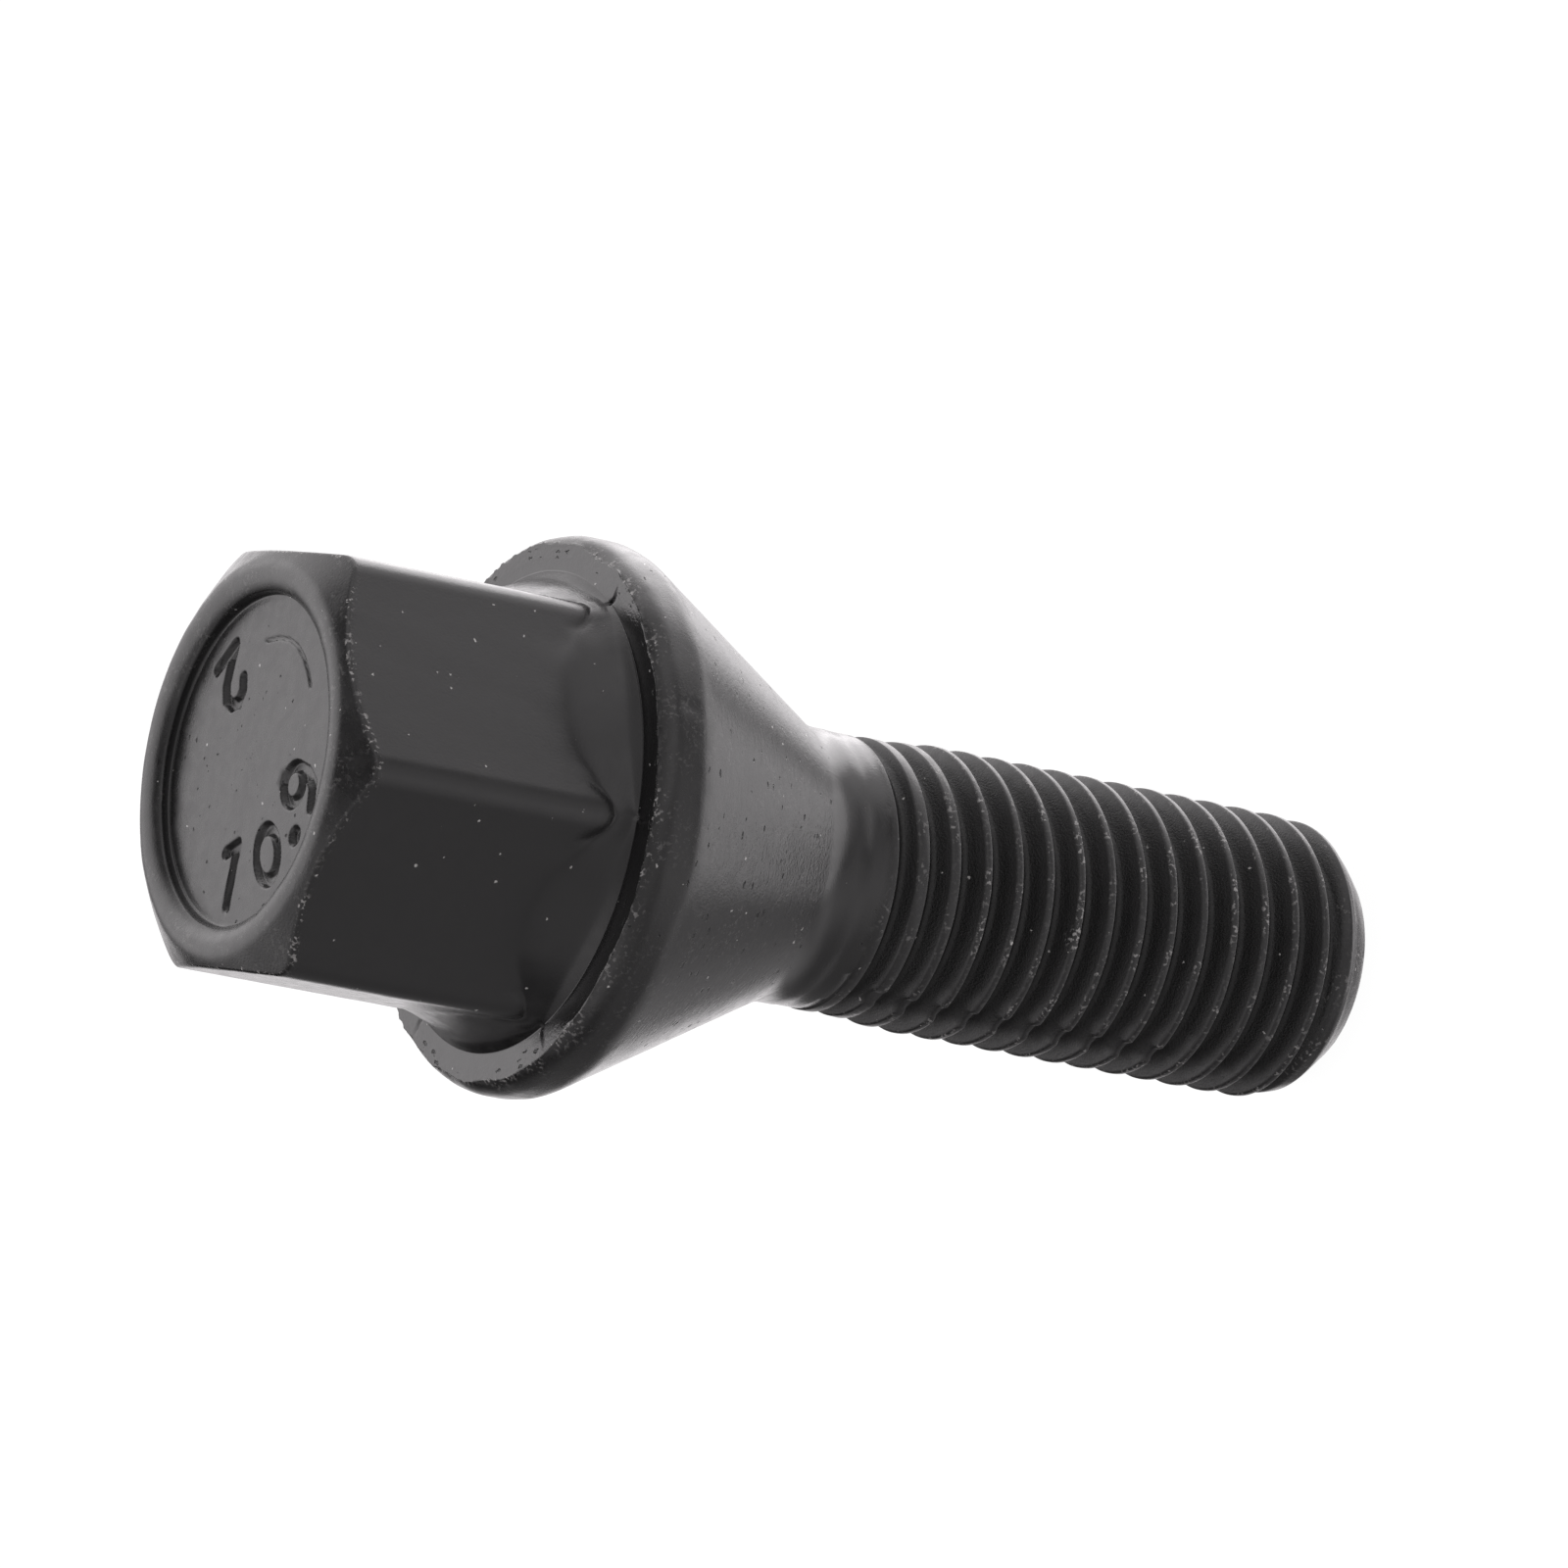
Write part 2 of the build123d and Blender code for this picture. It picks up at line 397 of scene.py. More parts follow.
class Net:
    """Rings of points from the head's middle to the end's middle, joined as they are added."""

    def __init__(self):
        self.points = []
        self.zones = []
        self.faces = []
        self.last = None
        self.count = 0

    def add(self, xyz, wear, pits, rough, uneven, grime=0.0):
        """Adds points with their surface values and gives their numbers."""
        first = self.count
        values = [np.broadcast_to(value, len(xyz)) for value in (wear, pits, rough, uneven, grime)]
        self.points.append(np.asarray(xyz, float))
        self.zones.append(np.stack(values, 1))
        self.count += len(xyz)
        return np.arange(first, self.count)

    def ring(self, angles, radius, height, wear=0.0, pits=0.0, rough=0.25, uneven=0.012):
        """Adds one ring and joins it to the ring before it."""
        radius = np.broadcast_to(radius, len(angles))
        height = np.broadcast_to(height, len(angles))
        xyz = np.stack([radius * np.cos(angles), radius * np.sin(angles), height], 1)
        new = self.add(xyz, wear, pits, rough, uneven)
        if self.last is not None:
            self.join(self.last, new)
        self.last = new

    def join(self, upper, lower):
        """Faces between two rings with the same columns, or twice as many in one of them."""
        upper_next, lower_next = np.roll(upper, -1), np.roll(lower, -1)
        if len(upper) == len(lower):
            self.face_columns(upper, lower, lower_next, upper_next)
        elif len(upper) > len(lower):
            left, middle, right = upper[0::2], upper[1::2], np.roll(upper[0::2], -1)
            self.face_columns(left, lower, middle)
            self.face_columns(middle, lower, lower_next)
            self.face_columns(middle, lower_next, right)
        else:
            left, middle, right = lower[0::2], lower[1::2], np.roll(lower[0::2], -1)
            self.face_columns(upper, left, middle)
            self.face_columns(upper, middle, upper_next)
            self.face_columns(upper_next, middle, right)

    def face_columns(self, *corners):
        """Adds one face for each column, from the points at its corners."""
        self.faces.extend(np.stack(corners, 1).tolist())

    def cap(self, height, down):
        """Closes the last ring with a point on the axis."""
        tip = self.add(np.array([(0.0, 0.0, height)]), **CAP_FINISH)[0]
        for a, b in zip(self.last, np.roll(self.last, -1)):
            self.faces.append([a, tip, b] if down else [a, b, tip])


def engraving(x, y):
    """Depth of the numbers on the dish's floor: they read round the axis, feet outward."""
    nearest = np.full(np.shape(x), np.inf)
    glyphs = [
        (177, lambda u, v: path_distance(u, v, ONE)),
        (213, lambda u, v: oval_distance(u, v, (0, -0.05), 0.82, 1.12)),
        (237, lambda u, v: np.maximum(np.hypot(u, v + 0.91) - 0.15, 0)),
        (257, lambda u, v: np.minimum(oval_distance(u, v, (0, 0.61), 0.75, 0.75),
                                      path_distance(u, v, NINE_TAIL))),
        (42, lambda u, v: path_distance(u, v, TWO)),
    ]
    for place, distance in glyphs:
        a = radians(place)
        across, along = x - TEXT_RADIUS * cos(a), y - TEXT_RADIUS * sin(a)
        right, up = -across * sin(a) + along * cos(a), -across * cos(a) - along * sin(a)
        nearest = np.minimum(nearest, distance(right, up))
    half = STROKE_WIDTH / 2
    return ENGRAVED_DEPTH * smooth_step(half + STROKE_EDGE, half - STROKE_EDGE, nearest)


def lap_line(x, y):
    """Depth of the lap line on the dish's floor."""
    return LAP_DEPTH * np.exp(-(path_distance(x, y, LAP_LINE) / LAP_WIDTH) ** 2)


def dish_rings(net):
    """Dish's floor with its numbers, from the axis outward, and the foot of its wall."""
    floor_z = TOP_Z - DISH_DEPTH
    foot = DISH_RADIUS - DISH_FOOT_ROUNDING
    rows = DISH_MIDDLE + [(radius, 1) for radius in np.linspace(*TEXT_SPAN, 45)]
    rows += [(radius, 1) for radius in np.linspace(TEXT_SPAN[1], foot, 6)[1:]]
    for radius, step in rows:
        angles = column_angles(HEAD_COLUMNS // step)
        x, y = radius * np.cos(angles), radius * np.sin(angles)
        net.ring(angles, radius, floor_z - engraving(x, y) - lap_line(x, y), **DISH_FINISH)
        if net.count == len(angles):
            net.cap(floor_z, down=False)
    angles = column_angles(HEAD_COLUMNS)
    center = (foot, floor_z + DISH_FOOT_ROUNDING)
    for radius, height in arc(center, DISH_FOOT_ROUNDING, -pi / 2, 0, 4)[1:]:
        net.ring(angles, radius, height)


def lip_rings(net):
    """Rounded lip from the dish's wall over the crown to the cone; gives the cone's start."""
    inner = ((LIP_RADIUS - DISH_RADIUS) ** 2 + LIP_INNER_FALL ** 2) / (2 * LIP_INNER_FALL)
    inner_start = pi - acos((LIP_RADIUS - DISH_RADIUS) / inner)
    outline = [(DISH_RADIUS, TOP_Z - LIP_INNER_FALL - LIP_WALL_DROP)]
    outline += arc((LIP_RADIUS, TOP_Z - inner), inner, inner_start + LIP_OVERHANG, pi / 2, 8)
    outline += arc((LIP_RADIUS, TOP_Z - LIP_OUTER_ROUNDING), LIP_OUTER_ROUNDING,
                   pi / 2, pi / 2 - CHAMFER_ANGLE, 7)[1:]
    for share, (radius, height) in zip(np.linspace(0, 1, len(outline)), outline):
        angles = column_angles(HEAD_COLUMNS, CORNER_WARP * share)
        net.ring(angles, radius, height, **LIP_FINISH)
    return outline[-1]


def chamfer_rings(net, angles, cone_start):
    """Cone that cuts the hexagon's corners, with its rounded edge; gives the flats' upper end."""
    cone_r, cone_z = cone_start
    hexagon = hexagon_radius(angles)
    slope = tan(CHAMFER_ANGLE)
    turn = pi / 2 - CHAMFER_ANGLE
    tangent = CHAMFER_EDGE_ROUNDING * tan(turn / 2)
    cone_end = hexagon - tangent * cos(CHAMFER_ANGLE)
    for share in CHAMFER_ROWS:
        radius = cone_r + (cone_end - cone_r) * share
        finish = EDGE_FINISH if share == 1 else CHAMFER_FINISH
        net.ring(angles, radius, cone_z - (radius - cone_r) * slope, **finish)
    wall_top = cone_z - (hexagon - cone_r) * slope - tangent
    for t in np.linspace(turn, 0, 5)[1:]:
        net.ring(angles, hexagon - CHAMFER_EDGE_ROUNDING * (1 - cos(t)),
                 wall_top + CHAMFER_EDGE_ROUNDING * sin(t), **EDGE_FINISH)
    return wall_top


def flat_rings(net, angles, wall_top):
    """Flats of the hexagon and the flare at their foot."""
    hexagon = hexagon_radius(angles)
    top = flare_height(angles)
    heights = [wall_top - FACE_Z + (top - wall_top + FACE_Z) * share for share in FLAT_ROWS]
    heights += [top * (1 - share) for share in FLARE_ROWS]
    for height in heights:
        reach = flare_share(angles, 1 - height / top) if height is not heights[-1] else 1.0
        radius = hexagon + (FLARE_FOOT_RADIUS - hexagon) * reach - corner_fold(angles, height)
        drop = ring_creases(angles, radius) * smooth_step(CREASE_START, 0.0, height)
        net.ring(angles, radius, FACE_Z + height - drop, **FLAT_FINISH)


def hexagon_rings(net, cone_start):
    """Hexagon from the lip down to the collar."""
    angles = column_angles(HEAD_COLUMNS, CORNER_WARP)
    flat_rings(net, angles, chamfer_rings(net, angles, cone_start))


def ring_edge(angles, ragged=0.0):
    """Outer edge of the collar's flat face: wavy, and ragged in its last bit."""
    return (RING_RADIUS + RING_WAVINESS * ripple(angles, 3, 24, SEED)
            + ragged * RING_RAGGEDNESS * ripple(angles, 40, 130, SEED + 1))


def face_rings(net):
    """Collar's flat face, from the head's foot out to its edge."""
    for share in RING_ROWS:
        angles = column_angles(HEAD_COLUMNS, CORNER_WARP * (1 - (1 - RIM_WARP) * share))
        radius = FLARE_FOOT_RADIUS + (ring_edge(angles, share ** 8) - FLARE_FOOT_RADIUS) * share
        net.ring(angles, radius, FACE_Z - ring_creases(angles, radius),
                 wear=1.0 if share == 1 else 0.0,
                 pits=RING_PITS * smooth_step(*RING_PIT_SPAN, share), **RING_FINISH)


def rim_rings(net):
    """Rounded rim of the collar, from the edge of its face down to its full radius."""
    for share in RIM_ROWS:
        angles = column_angles(HEAD_COLUMNS, CORNER_WARP * RIM_WARP * share)
        inset = COLLAR_RADIUS - ring_edge(angles)
        bend = (inset ** 2 + COLLAR_EDGE_HEIGHT ** 2) / (2 * inset)
        reach = np.arcsin(np.minimum(COLLAR_EDGE_HEIGHT / bend, 1)) * share
        net.ring(angles, COLLAR_RADIUS - bend * (1 - np.cos(reach)),
                 FACE_Z - COLLAR_EDGE_HEIGHT + bend * np.sin(reach),
                 wear=share ** 3 + RIM_WEAR, **RIM_FINISH)


def seat_edge_rings(net):
    """Rounding between the rim and the seat's cone; gives the cone's start."""
    tangent = SEAT_EDGE_ROUNDING * tan(SEAT_HALF_ANGLE / 2)
    center = (COLLAR_RADIUS - SEAT_EDGE_ROUNDING, SEAT_TOP_Z + tangent)
    outline = arc(center, SEAT_EDGE_ROUNDING, 0, -SEAT_HALF_ANGLE, 6)
    for radius, height in outline:
        net.ring(column_angles(HEAD_COLUMNS), radius, height, **SEAT_EDGE_FINISH)
    return outline[-1]


def seat_rings(net, start):
    """Cone of the seat, its run into the neck, and the neck down to the thread."""
    angles = column_angles(SHANK_COLUMNS)
    tangent = NECK_ROUNDING * tan(SEAT_HALF_ANGLE / 2)
    foot_z = SEAT_TOP_Z - (COLLAR_RADIUS - NECK_RADIUS) / tan(SEAT_HALF_ANGLE)
    center = (NECK_RADIUS + NECK_ROUNDING, foot_z - tangent)
    neck_arc = arc(center, NECK_ROUNDING, pi - SEAT_HALF_ANGLE, pi, 8)
    for radius, height in line(start, neck_arc[0], 30)[1:-1]:
        net.ring(angles, radius, height, **SEAT_FINISH)
    below_step = (NECK_RADIUS - NECK_STEP, NECK_STEP_Z - NECK_STEP_HEIGHT)
    neck = [(NECK_RADIUS, NECK_STEP_Z)]
    neck += line(below_step, (NECK_RADIUS - NECK_STEP, THREAD_TOP_Z), 4)
    for radius, height in neck_arc + neck:
        net.ring(angles, radius, height, **NECK_FINISH)


def nicks(heights, angles):
    """Depth of a row of dents that runs along the thread, over its crests."""
    across = THREAD_RADIUS * np.abs(angles - NICK_ANGLE)
    side = smooth_step(NICK_WIDTH + NICK_EDGE, NICK_WIDTH - NICK_EDGE, across)
    lower_end = smooth_step(NICK_LOW_Z - NICK_FADE, NICK_LOW_Z, heights)
    upper_end = smooth_step(NICK_HIGH_Z + NICK_FADE, NICK_HIGH_Z, heights)
    return NICK_DEPTH * side * (lower_end * upper_end)


def crest_radius(heights):
    """Radius of the thread's crests: lower where the thread runs out below the neck."""
    share = smooth_step(*RUN_OUT_CREST_SPAN, THREAD_TOP_Z - heights)
    return THREAD_RADIUS + (RUN_OUT_CREST - THREAD_RADIUS) * share


def outer_radius(heights):
    """Radius over the crests and over the end's chamfer."""
    return smooth_min(crest_radius(heights), END_RADIUS + heights, END_EDGE_ROUNDING)


def thread_radius(heights, angles):
    """Radius of the threaded surface at the given heights and angles."""
    phase = (heights / PITCH - CREST_PHASE - angles / FULL_TURN) % 1.0
    from_root = np.abs(phase - 0.5) * PITCH
    below_top = THREAD_TOP_Z - heights
    root = THREAD_RADIUS - THREAD_DEPTH
    root = root + (RUN_OUT_ROOT - root) * smooth_step(*RUN_OUT_ROOT_SPAN, below_top)
    root = root + END_GROOVE_RISE * smooth_step(*END_GROOVE_SPAN, heights)
    flank = THREAD_RADIUS - ((PITCH - CREST_WIDTH) / 2 - from_root) * FLANK_SLOPE
    groove = smooth_max(flank, root, ROOT_ROUNDING)
    radius = smooth_min(groove, crest_radius(heights), CREST_ROUNDING)
    edge = np.clip(1 - below_top / RUN_OUT_EDGE, 0, 1)
    radius = radius + (NECK_RADIUS - NECK_STEP - radius) * edge
    radius = radius - nicks(heights, angles) * smooth_step(*NICK_REACH, THREAD_RADIUS - radius)
    return smooth_min(radius, END_RADIUS + heights, END_EDGE_ROUNDING)


def scuffs(xyz):
    """Bright rubbed spots on the thread."""
    total = np.zeros(len(xyz))
    for place, height in SCUFFS:
        a = radians(place)
        spot = np.array([THREAD_RADIUS * cos(a), THREAD_RADIUS * sin(a), height])
        total += SCUFF_WEAR * np.exp(-np.sum((xyz - spot) ** 2, 1) / SCUFF_RADIUS ** 2)
    return total


def thread_finish(xyz):
    """Surface values of points on the thread: crests rubbed, painted shade deep in the grooves, and at
    the tip less of both and more gloss.
    """
    heights = xyz[:, 2]
    depth = outer_radius(heights) - np.hypot(xyz[:, 0], xyz[:, 1])
    tip = smooth_step(*TIP_SPAN, heights)
    run_out = smooth_step(*RUN_OUT_CREST_SPAN, THREAD_TOP_Z - heights)
    rubbed = (CREST_WEAR - RUN_OUT_WEAR_LOSS * run_out) * smooth_step(*CREST_WEAR_DEPTH, depth)
    last_crest = LAST_CREST_WEAR * smooth_step(*END_GROOVE_SPAN, heights)
    wear = np.maximum(rubbed, last_crest) * (1 - TIP_WEAR_LOSS * tip) + scuffs(xyz)
    grime = smooth_step(*GROOVE_SHADE_DEPTH, depth) * (1 - tip)
    rough = THREAD_ROUGH + GROOVE_ROUGH * grime - TIP_GLOSS * tip
    return dict(wear=wear, pits=THREAD_PITS, rough=rough, uneven=THREAD_UNEVEN, grime=grime)


def crest_edge(turn, angles):
    """Half width of a turn's crest, as a share of the pitch."""
    heights = PITCH * (turn + CREST_PHASE + angles / FULL_TURN)
    return (CREST_WIDTH / 2 + (THREAD_RADIUS - crest_radius(heights)) / FLANK_SLOPE) / PITCH


def helix_rows(angles):
    """Heights of the thread's rows from the top down: at the crests' edges and in the grooves."""
    rows = []
    for turn in range(int(THREAD_TOP_Z / PITCH) + 1, -3, -1):
        below, above = crest_edge(turn, angles), crest_edge(turn + 1, angles)
        marks = [0.0, below - 0.02, below + 0.008, below + 0.05, *GROOVE_ROWS,
                 0.95 - above, 0.992 - above, 1.02 - above]
        rows += [PITCH * (turn + CREST_PHASE + mark + angles / FULL_TURN) for mark in marks[::-1]]
    return rows


def thread_strip(net):
    """The thread as one strip wound round the shank, its rows along the helix."""
    angles = np.arange(SHANK_COLUMNS + 1) * FULL_TURN / SHANK_COLUMNS
    heights = np.clip(np.array(helix_rows(angles)), 0.0, THREAD_TOP_Z)
    radius = thread_radius(heights, angles)
    xyz = np.stack([radius * np.cos(angles), radius * np.sin(angles), heights], 2)
    ids = np.empty(heights.shape, int)
    keys = {(column, THREAD_TOP_Z): number for column, number in enumerate(net.last)}
    fresh = []
    for i, j in np.ndindex(*heights.shape):
        key = (j % SHANK_COLUMNS, round(heights[i, j], 6))
        if key not in keys:
            keys[key] = net.count + len(fresh)
            fresh.append(xyz[i, j])
        ids[i, j] = keys[key]
    fresh = np.array(fresh)
    net.add(fresh, **thread_finish(fresh))
    for i, j in np.ndindex(len(ids) - 1, SHANK_COLUMNS):
        corners = [ids[i, j], ids[i + 1, j], ids[i + 1, j + 1], ids[i, j + 1]]
        corners = [c for k, c in enumerate(corners) if c != corners[k - 1]]
        if len(corners) >= 3:
            net.faces.append(corners)
    net.last = np.array([keys[(column, 0.0)] for column in range(SHANK_COLUMNS)])


def end_rings(net):
    """Flat end of the shank."""
    start = thread_radius(np.zeros(1), np.zeros(1))[0]
    for radius in np.linspace(start, END_MIDDLE_RADIUS, 6)[1:]:
        net.ring(column_angles(SHANK_COLUMNS), radius, 0.0, **END_FINISH)
    net.cap(0.0, down=True)


def rim_dent(xyz):
    """Depth of a small dent in the collar's rim."""
    radial = COLLAR_RADIUS * np.array([cos(RIM_DENT_ANGLE), sin(RIM_DENT_ANGLE), 0])
    away = (xyz - radial - (0, 0, RIM_DENT_Z)) / RIM_DENT_RADIUS
    return RIM_DENT_DEPTH * np.exp(-np.sum(away ** 2, 1))


def press_in(points, faces, amount):
    """Points moved inward, along the surface's own normals, by the amount of each."""
    normals = np.zeros_like(points)
    for corners in (3, 4):
        group = np.array([face for face in faces if len(face) == corners])
        first = points[group[:, 2]] - points[group[:, 0]]
        second = points[group[:, -1]] - points[group[:, 1]]
        across = np.cross(first, second)
        for k in range(corners):
            np.add.at(normals, group[:, k], across)
    lengths = np.linalg.norm(normals, axis=1, keepdims=True)
    return points - normals / np.maximum(lengths, 1e-12) * amount[:, None]


def build_net():
    """The whole bolt's net, from the head's dish to the end face."""
    net = Net()
    dish_rings(net)
    hexagon_rings(net, lip_rings(net))
    face_rings(net)
    rim_rings(net)
    seat_rings(net, seat_edge_rings(net))
    thread_strip(net)
    end_rings(net)
    return net


def build_bolt():
    """Makes the mesh object that stands for the solid."""
    net = build_net()
    points = np.concatenate(net.points)
    zones = np.concatenate(net.zones)
    # the last column is the painted shade in the thread's grooves
    coat, uneven, groove_shade_values = zones[:, :3], zones[:, 3], zones[:, 4]
    amount = uneven * (0.5 + 0.5 * forged_noise(points)) + rim_dent(points)
    points = press_in(points, net.faces, amount)
    mesh = bpy.data.meshes.new(NODE + "_mesh")
    mesh.from_pydata((points * MM).tolist(), [], net.faces)
    mesh.shade_smooth()
    layer = mesh.attributes.new("coat", "FLOAT_VECTOR", "POINT")
    layer.data.foreach_set("vector", coat.ravel())
    # painted shade in the thread's grooves, kept on the mesh for the material
    grime = mesh.attributes.new("grime", "FLOAT", "POINT")
    grime.data.foreach_set("value", groove_shade_values.copy())
    bolt = bpy.data.objects.new("forged_bolt", mesh)
    bpy.context.scene.collection.objects.link(bolt)
    return bolt


class Tree:
    """Short ways to add nodes to a node tree and link them."""

    def __init__(self, tree):
        self.nodes, self.links = tree.nodes, tree.links

    def feed(self, socket, value):
        """Gives an input a value, or links it to another node's output."""
        if isinstance(value, bpy.types.NodeSocket):
            self.links.new(value, socket)
        else:
            socket.default_value = value

    def add(self, kind, feeds=(), **settings):
        """Adds a node; each feed is an input's name or number with a value or a socket."""
        node = self.nodes.new("ShaderNode" + kind)
        for name, value in settings.items():
            setattr(node, name, value)
        for name, value in dict(feeds).items():
            self.feed(node.inputs[name], value)
        return node

    def math(self, operation, *values):
        """A math node's result."""
        return self.add("Math", enumerate(values), operation=operation).outputs[0]

    def span(self, value, low, high, to_low=0.0, to_high=1.0):
        """A soft change of a value from one span to another."""
        feeds = {"Value": value, "From Min": low, "From Max": high, "To Min": to_low, "To Max": to_high}
        return self.add("MapRange", feeds, interpolation_type="SMOOTHSTEP").outputs[0]

    def blend(self, share, first, second):
        """A mix of two colours."""
        feeds = {0: share, 6: first, 7: second}
        return self.add("Mix", feeds, data_type="RGBA").outputs[2]

    def noise(self, place, size, detail=3.0):
        """Noise with features of about the given size in millimetres."""
        feeds = {"Vector": place, "Scale": 1 / (size * MM), "Detail": detail}
        return self.add("TexNoise", feeds).outputs[0]


def specks(tree, place, spacing, radius, share):
    """Scattered round spots up to the given radius, about one spacing apart; a share is kept."""
    cells = tree.add("TexVoronoi", {"Vector": place, "Scale": 1 / (spacing * MM)})
    chance = tree.add("SeparateColor", {0: cells.outputs["Color"]}).outputs
    largest = radius / spacing
    reach = tree.span(chance[1], 0.0, 1.0, SMALLEST_SPECK * largest, largest)
    spot = tree.span(cells.outputs["Distance"], reach, tree.math("MULTIPLY", reach, 0.5))
    return tree.math("MULTIPLY", spot, tree.math("LESS_THAN", chance[0], share))


def scattered(tree, place):
    """Coordinates shifted by a fine noise, in which round spots come out ragged."""
    feeds = {"Vector": place, "Scale": 1 / (SCATTER_SIZE * MM)}
    shift = tree.add("TexNoise", feeds).outputs["Color"]
    feeds = {0: shift, 1: (SCATTER_REACH * MM,) * 3, 2: place}
    return tree.add("VectorMath", feeds, operation="MULTIPLY_ADD").outputs[0]


def around(tree, place):
    """Coordinates in which spots come out drawn round the bolt's axis."""
    x, y, z = tree.add("SeparateXYZ", {0: place}).outputs
    turn = tree.math("MULTIPLY", tree.math("ARCTAN2", y, x), AROUND_RADIUS * MM)
    square = tree.math("ADD", tree.math("MULTIPLY", x, x), tree.math("MULTIPLY", y, y))
    return tree.add("CombineXYZ", {0: turn, 1: tree.math("SQRT", square), 2: z}).outputs[0]


def rubbed_share(tree, place, wear):
    """How far the coating is rubbed off: flecks, in patches, where the surface is worn."""
    patches = tree.span(tree.noise(place, PATCH_SIZE), *PATCH_SPAN, *PATCH_SHARE)
    flecks = tree.span(tree.noise(place, FLECK_SIZE, FLECK_DETAIL), *FLECK_SPAN)
    return tree.math("MULTIPLY", wear, tree.math("MULTIPLY", patches, flecks))


def coat_color(tree, grime, pitted, rubbed, dust):
    """Black coating with painted shade deep in the grooves and in the pits, pale where it is rubbed or
    dusty.
    """
    # painted shade: the coat is darkened deep in the grooves and in the pits
    painted_shade = tree.math("MAXIMUM", tree.math("MULTIPLY", grime, GROOVE_SHADE_DARKENING),
                     tree.math("MULTIPLY", pitted, PIT_SHADE_DARKENING))
    coat = tree.blend(painted_shade, (*COAT_COLOR, 1), BLACK)
    worn = tree.blend(tree.math("MINIMUM", rubbed, 1.0), coat, RUBBED_COLOR)
    return tree.blend(dust, worn, DUST_COLOR)


def coat_roughness(tree, rough, mottle, rubbed, pitted):
    """Roughness of the zone, mottled, and higher where the coating is rubbed or pitted."""
    total = tree.math("ADD", rough, tree.span(mottle, *MOTTLE_SPAN, *MOTTLE_ROUGHNESS))
    total = tree.math("ADD", total, tree.math("MULTIPLY", rubbed, RUBBED_ROUGHNESS))
    return tree.math("ADD", total, tree.math("MULTIPLY", pitted, PIT_ROUGHNESS))


def coat_normal(tree, grain, mottle, wrinkles, pitted):
    """Bumps of the coating's grain, mottle and wrinkles, with the pits sunk into them."""
    fine = tree.math("MULTIPLY_ADD", mottle, MOTTLE_AMOUNT, grain)
    fine = tree.math("MULTIPLY_ADD", wrinkles, WRINKLE_AMOUNT, fine)
    feeds = {"Height": fine, "Strength": SKIN_STRENGTH, "Distance": SKIN_HEIGHT * MM}
    skin = tree.add("Bump", feeds).outputs[0]
    hole = tree.math("MULTIPLY", pitted, -1.0)
    feeds = {"Height": hole, "Strength": 1.0, "Distance": PIT_HEIGHT * MM, "Normal": skin}
    return tree.add("Bump", feeds).outputs[0]


def coating_material():
    """Semi-gloss black coating: grained, pitted, dusty and rubbed pale along the edges, with painted
    shade in the grooves and pits.
    """
    material = bpy.data.materials.new("black_coating_look")
    material.use_nodes = True
    tree = Tree(material.node_tree)
    shader = tree.nodes["Principled BSDF"]
    shader.inputs["Specular IOR Level"].default_value = 1.0
    place = tree.add("TexCoord").outputs["Object"]
    zone = tree.add("Attribute", attribute_name="coat").outputs["Vector"]
    wear, pits, rough = tree.add("SeparateXYZ", {0: zone}).outputs
    # painted shade in the thread's grooves
    grime = tree.add("Attribute", attribute_name="grime").outputs["Fac"]
    ragged = scattered(tree, place)
    drawn = around(tree, ragged)

    coarse = tree.math("MULTIPLY_ADD", grime, 1.0, GRAIN_AMOUNT)
    grain = tree.math("MULTIPLY", tree.noise(place, GRAIN_SIZE), coarse)
    mottle = tree.noise(place, MOTTLE_SIZE)
    wrinkled = tree.math("MINIMUM", pits, WRINKLE_LIMIT)
    wrinkles = tree.math("MULTIPLY", tree.noise(drawn, WRINKLE_SIZE), wrinkled)
    rubbed = rubbed_share(tree, place, wear)
    dust = specks(tree, ragged, DUST_SPACING, DUST_RADIUS, DUST_SHARE)
    share = tree.math("MULTIPLY_ADD", pits, PIT_SHARE, PIT_SHARE_START)
    pitted = specks(tree, drawn, PIT_SPACING, PIT_RADIUS, share)

    tree.feed(shader.inputs["Base Color"], coat_color(tree, grime, pitted, rubbed, dust))
    tree.feed(shader.inputs["Roughness"], coat_roughness(tree, rough, mottle, rubbed, pitted))
    tree.feed(shader.inputs["Normal"], coat_normal(tree, grain, mottle, wrinkles, pitted))
    return material


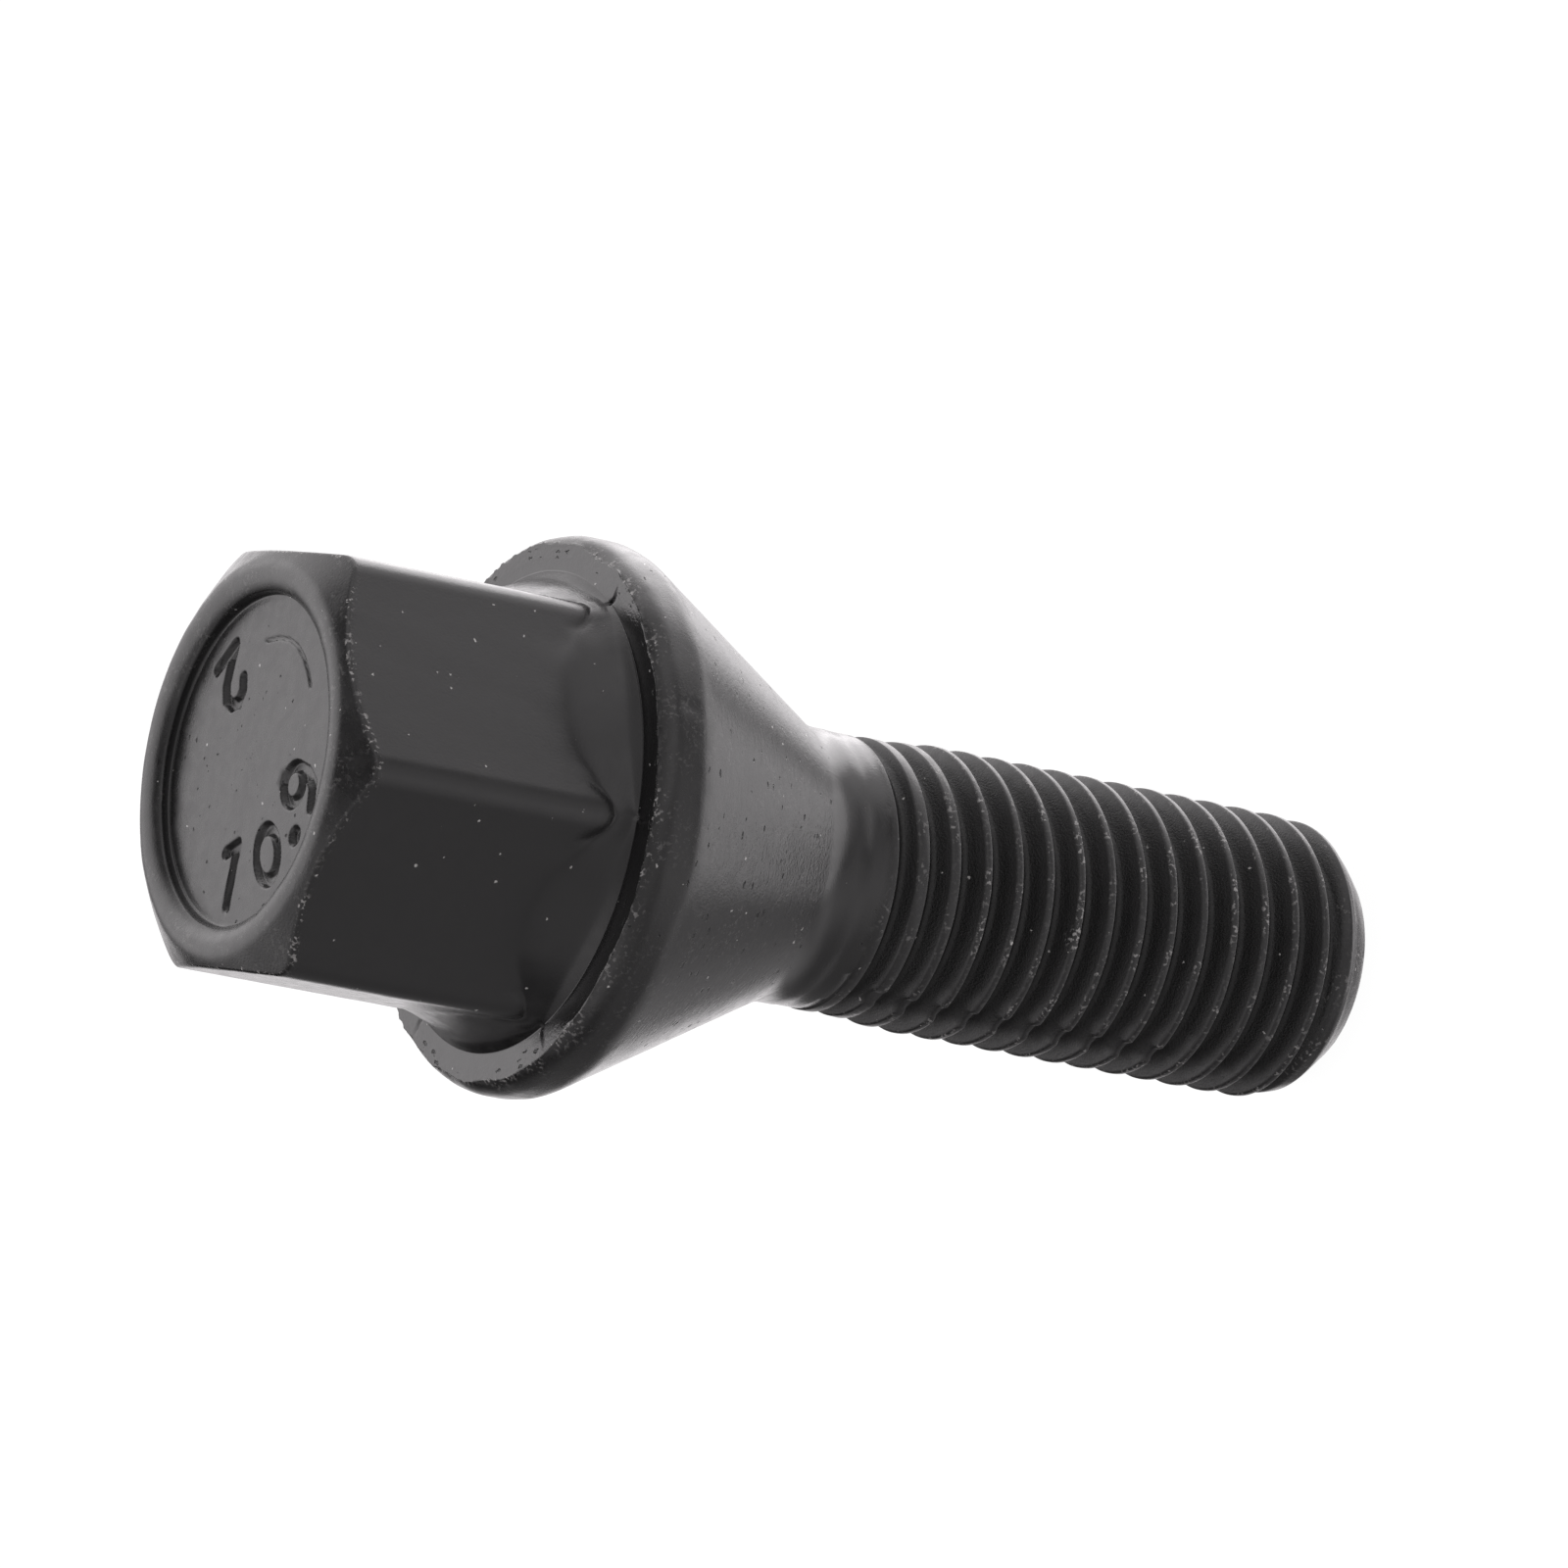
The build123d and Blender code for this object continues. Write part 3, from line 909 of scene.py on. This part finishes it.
def build_floor():
    """Pale floor that the bolt stands on: white to the eye, with the bolt's shadow."""
    bpy.ops.mesh.primitive_plane_add(size=FLOOR_SIZE, location=(0, 0, FLOOR_Z))
    floor = bpy.context.object
    floor.name = "floor"
    floor.visible_diffuse = False
    floor.visible_glossy = False
    floor.visible_transmission = False
    floor.visible_shadow = False
    material = bpy.data.materials.new("floor_white")
    material.use_nodes = True
    shader = material.node_tree.nodes["Principled BSDF"]
    shader.inputs["Base Color"].default_value = FLOOR_COLOR
    shader.inputs["Roughness"].default_value = 1.0
    shader.inputs["Specular IOR Level"].default_value = 0.0
    shader.inputs["Emission Color"].default_value = WHITE
    shader.inputs["Emission Strength"].default_value = FLOOR_GLOW
    floor.data.materials.append(material)


def build_world():
    """Studio of soft lights round the bolt; the eye sees plain white behind it."""
    world = bpy.data.worlds.new("studio")
    bpy.context.scene.world = world
    world.use_nodes = True
    tree = Tree(world.node_tree)
    way = tree.add("TexCoord").outputs["Generated"]
    light = 0.0
    for axis, start, full, strength in STUDIO.values():
        feeds = {0: way, 1: Vector(axis).normalized()}
        cosine = tree.add("VectorMath", feeds, operation="DOT_PRODUCT").outputs["Value"]
        light = tree.math("ADD", light, tree.span(cosine, start, full, 0.0, strength))
    seen = tree.add("LightPath").outputs["Is Camera Ray"]
    background = tree.nodes["Background"]
    tree.feed(background.inputs["Color"], tree.blend(seen, LIGHT_COLOR, WHITE))
    strength = tree.add("Mix", {"Factor": seen, "A": light, "B": 1.0})
    tree.feed(background.inputs["Strength"], strength.outputs[0])


def build_camera():
    """Camera at the photograph's angle, rolled so that the bolt lies across the picture."""
    level = cos(CAMERA_ELEVATION)
    towards = Vector((sin(CAMERA_AZIMUTH) * level, -cos(CAMERA_AZIMUTH) * level,
                      sin(CAMERA_ELEVATION)))
    place = Vector(CAMERA_TARGET) * MM + towards * CAMERA_DISTANCE
    turn = towards.to_track_quat("Z", "Y").to_matrix().to_4x4() @ Matrix.Rotation(-CAMERA_ROLL, 4, "Z")
    camera_data = bpy.data.cameras.new("camera")
    camera_data.sensor_width = SENSOR_WIDTH
    camera_data.lens = CAMERA_LENS
    camera_data.clip_start = CAMERA_CLIP_START
    camera = bpy.data.objects.new("camera", camera_data)
    camera.matrix_world = Matrix.Translation(place) @ turn
    bpy.context.scene.collection.objects.link(camera)
    bpy.context.scene.camera = camera


bolt = build_bolt()
bolt.data.materials.append(coating_material())
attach(bolt, "root")
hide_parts(NODE)
build_floor()
build_world()
build_camera()
bpy.context.scene.view_settings.view_transform = "Standard"
